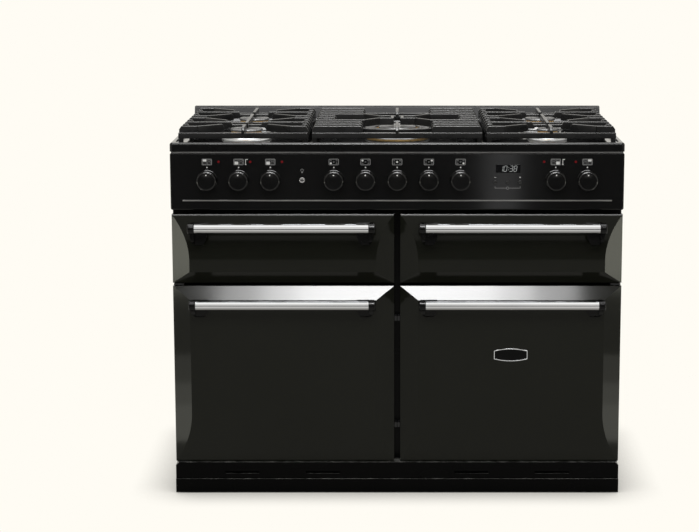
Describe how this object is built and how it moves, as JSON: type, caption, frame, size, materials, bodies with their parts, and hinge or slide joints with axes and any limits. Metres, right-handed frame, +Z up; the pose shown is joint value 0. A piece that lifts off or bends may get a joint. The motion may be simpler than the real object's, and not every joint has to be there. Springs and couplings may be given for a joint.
{
  "type": "range cooker",
  "caption": "Wide black and pewter range cooker with a gas hob, side-hung oven doors, a glide-out grill, a proving drawer, tube handles and turning control knobs.",
  "frame": {"origin": "middle of the footprint, on the floor, handles included", "axes": "+X to the right seen from the front, -Y out of the front, +Z up"},
  "size_m": [1.092, 0.657, 0.905],
  "materials": {
    "black_enamel": "satin black",
    "panel_enamel": "gloss black",
    "hob_enamel": "gloss black",
    "door_enamel": "gloss pewter green",
    "oven_enamel": "speckled enamel",
    "galvanised_steel": "satin zinc",
    "foot_plastic": "matt",
    "seal_rope": "braided glass fibre",
    "shelf_wire": "bright",
    "motor_steel": "satin",
    "fan_metal": "satin",
    "element_steel": "heat tinted",
    "hinge_steel": "zinc plated",
    "burner_aluminium": "satin cast",
    "burner_brass": "satin",
    "cap_enamel": "satin black",
    "electrode_ceramic": "glazed white",
    "cast_iron": "matt black",
    "clock_glass": "gloss black",
    "lamp_red": "clear red",
    "tap_brass": "cast",
    "handle_chrome": "polished",
    "bracket_black": "gloss black",
    "knob_black": "gloss black",
    "button_chrome": "polished",
    "key_black": "satin black"
  },
  "bodies": {
    "chassis": {"base_frame": "black_enamel", "plinth": "black_enamel", "levelling_feet": "foot_plastic", "side_panels": "black_enamel", "back_panel": "galvanised_steel", "front_frame": "oven_enamel", "oven_liners": "oven_enamel", "upper_chambers": "galvanised_steel", "door_seals": "seal_rope", "oven_shelves": "shelf_wire", "fan_covers": "oven_enamel", "fan_motors": "motor_steel", "grill_element": "element_steel", "hinges_and_catches": "hinge_steel", "hob_tray": "hob_enamel", "rear_upstand": "hob_enamel", "burner_bases": "burner_aluminium", "burner_rings": "burner_brass", "burner_caps": "cap_enamel", "igniters": "electrode_ceramic", "pan_support_left": "cast_iron", "pan_support_centre": "cast_iron", "pan_support_right": "cast_iron", "control_panel": "panel_enamel", "clock_module": "clock_glass", "indicator_lamps": "lamp_red", "taps_and_switches": "tap_brass"},
    "left_oven_door": {"left_door_skin": "door_enamel", "left_door_liner": "oven_enamel", "left_handle_bar": "handle_chrome", "left_handle_brackets": "bracket_black"},
    "right_oven_door": {"right_door_skin": "door_enamel", "right_door_liner": "oven_enamel", "right_handle_bar": "handle_chrome", "right_handle_brackets": "bracket_black"},
    "grill": {"grill_skin": "door_enamel", "grill_carriage": "galvanised_steel", "grill_pan": "oven_enamel", "grill_handle_bar": "handle_chrome", "grill_handle_brackets": "bracket_black"},
    "drawer": {"drawer_skin": "door_enamel", "drawer_box": "galvanised_steel", "drawer_handle_bar": "handle_chrome", "drawer_handle_brackets": "bracket_black"},
    "left_fan_wheel": {"left_fan": "fan_metal"},
    "right_fan_wheel": {"right_fan": "fan_metal"},
    "knob_grill": {"knob_grill": "knob_black"},
    "knob_left_oven_heat": {"knob_left_oven_heat": "knob_black"},
    "knob_left_oven_mode": {"knob_left_oven_mode": "knob_black"},
    "knob_front_left_burner": {"knob_front_left_burner": "knob_black"},
    "knob_rear_left_burner": {"knob_rear_left_burner": "knob_black"},
    "knob_centre_burner": {"knob_centre_burner": "knob_black"},
    "knob_rear_right_burner": {"knob_rear_right_burner": "knob_black"},
    "knob_front_right_burner": {"knob_front_right_burner": "knob_black"},
    "knob_right_oven_heat": {"knob_right_oven_heat": "knob_black"},
    "knob_drawer_heat": {"knob_drawer_heat": "knob_black"},
    "light_button": {"light_button": "button_chrome"},
    "clock_minus_button": {"clock_minus_button": "key_black"},
    "clock_mode_button": {"clock_mode_button": "key_black"},
    "clock_plus_button": {"clock_plus_button": "key_black"}
  },
  "joints": [
    {"name": "left_door_hinge", "type": "hinge", "parent": "chassis", "child": "left_oven_door", "pos_m": [-0.531, -0.2415, 0.3], "axis": [0, 0, 1], "range_deg": [-110, 0]},
    {"name": "right_door_hinge", "type": "hinge", "parent": "chassis", "child": "right_oven_door", "pos_m": [0.531, -0.2415, 0.3], "axis": [0, 0, 1], "range_deg": [0, 110]},
    {"name": "grill_slide", "type": "slide", "parent": "chassis", "child": "grill", "axis": [0, -1, 0], "range_m": [0, 0.3]},
    {"name": "drawer_slide", "type": "slide", "parent": "chassis", "child": "drawer", "axis": [0, -1, 0], "range_m": [0, 0.32]},
    {"name": "left_fan_spin", "type": "hinge", "parent": "chassis", "child": "left_fan_wheel", "pos_m": [-0.27625, 0.15, 0.296], "axis": [0, 1, 0], "continuous": true},
    {"name": "right_fan_spin", "type": "hinge", "parent": "chassis", "child": "right_fan_wheel", "pos_m": [0.27625, 0.15, 0.296], "axis": [0, 1, 0], "continuous": true},
    {"name": "knob_grill_turn", "type": "hinge", "parent": "chassis", "child": "knob_grill", "pos_m": [-0.4569, -0.2615, 0.781], "axis": [0, -1, 0], "range_deg": [-280, 0]},
    {"name": "knob_left_oven_heat_turn", "type": "hinge", "parent": "chassis", "child": "knob_left_oven_heat", "pos_m": [-0.38075, -0.2615, 0.781], "axis": [0, -1, 0], "range_deg": [-280, 0]},
    {"name": "knob_left_oven_mode_turn", "type": "hinge", "parent": "chassis", "child": "knob_left_oven_mode", "pos_m": [-0.3046, -0.2615, 0.781], "axis": [0, -1, 0], "continuous": true},
    {"name": "knob_front_left_burner_turn", "type": "hinge", "parent": "chassis", "child": "knob_front_left_burner", "pos_m": [-0.1523, -0.2615, 0.781], "axis": [0, -1, 0], "range_deg": [0, 210]},
    {"name": "knob_rear_left_burner_turn", "type": "hinge", "parent": "chassis", "child": "knob_rear_left_burner", "pos_m": [-0.07615, -0.2615, 0.781], "axis": [0, -1, 0], "range_deg": [0, 210]},
    {"name": "knob_centre_burner_turn", "type": "hinge", "parent": "chassis", "child": "knob_centre_burner", "pos_m": [0, -0.2615, 0.781], "axis": [0, -1, 0], "range_deg": [0, 210]},
    {"name": "knob_rear_right_burner_turn", "type": "hinge", "parent": "chassis", "child": "knob_rear_right_burner", "pos_m": [0.07615, -0.2615, 0.781], "axis": [0, -1, 0], "range_deg": [0, 210]},
    {"name": "knob_front_right_burner_turn", "type": "hinge", "parent": "chassis", "child": "knob_front_right_burner", "pos_m": [0.1523, -0.2615, 0.781], "axis": [0, -1, 0], "range_deg": [0, 210]},
    {"name": "knob_right_oven_heat_turn", "type": "hinge", "parent": "chassis", "child": "knob_right_oven_heat", "pos_m": [0.38075, -0.2615, 0.781], "axis": [0, -1, 0], "range_deg": [-280, 0]},
    {"name": "knob_drawer_heat_turn", "type": "hinge", "parent": "chassis", "child": "knob_drawer_heat", "pos_m": [0.4569, -0.2615, 0.781], "axis": [0, -1, 0], "range_deg": [-280, 0]},
    {"name": "light_button_push", "type": "slide", "parent": "chassis", "child": "light_button", "axis": [0, 1, 0], "range_m": [0, 0.0015], "stiffness_N_per_m": 250},
    {"name": "clock_minus_button_push", "type": "slide", "parent": "chassis", "child": "clock_minus_button", "axis": [0, 1, 0], "range_m": [0, 0.001], "stiffness_N_per_m": 250},
    {"name": "clock_mode_button_push", "type": "slide", "parent": "chassis", "child": "clock_mode_button", "axis": [0, 1, 0], "range_m": [0, 0.001], "stiffness_N_per_m": 250},
    {"name": "clock_plus_button_push", "type": "slide", "parent": "chassis", "child": "clock_plus_button", "axis": [0, 1, 0], "range_m": [0, 0.001], "stiffness_N_per_m": 250}
  ]
}
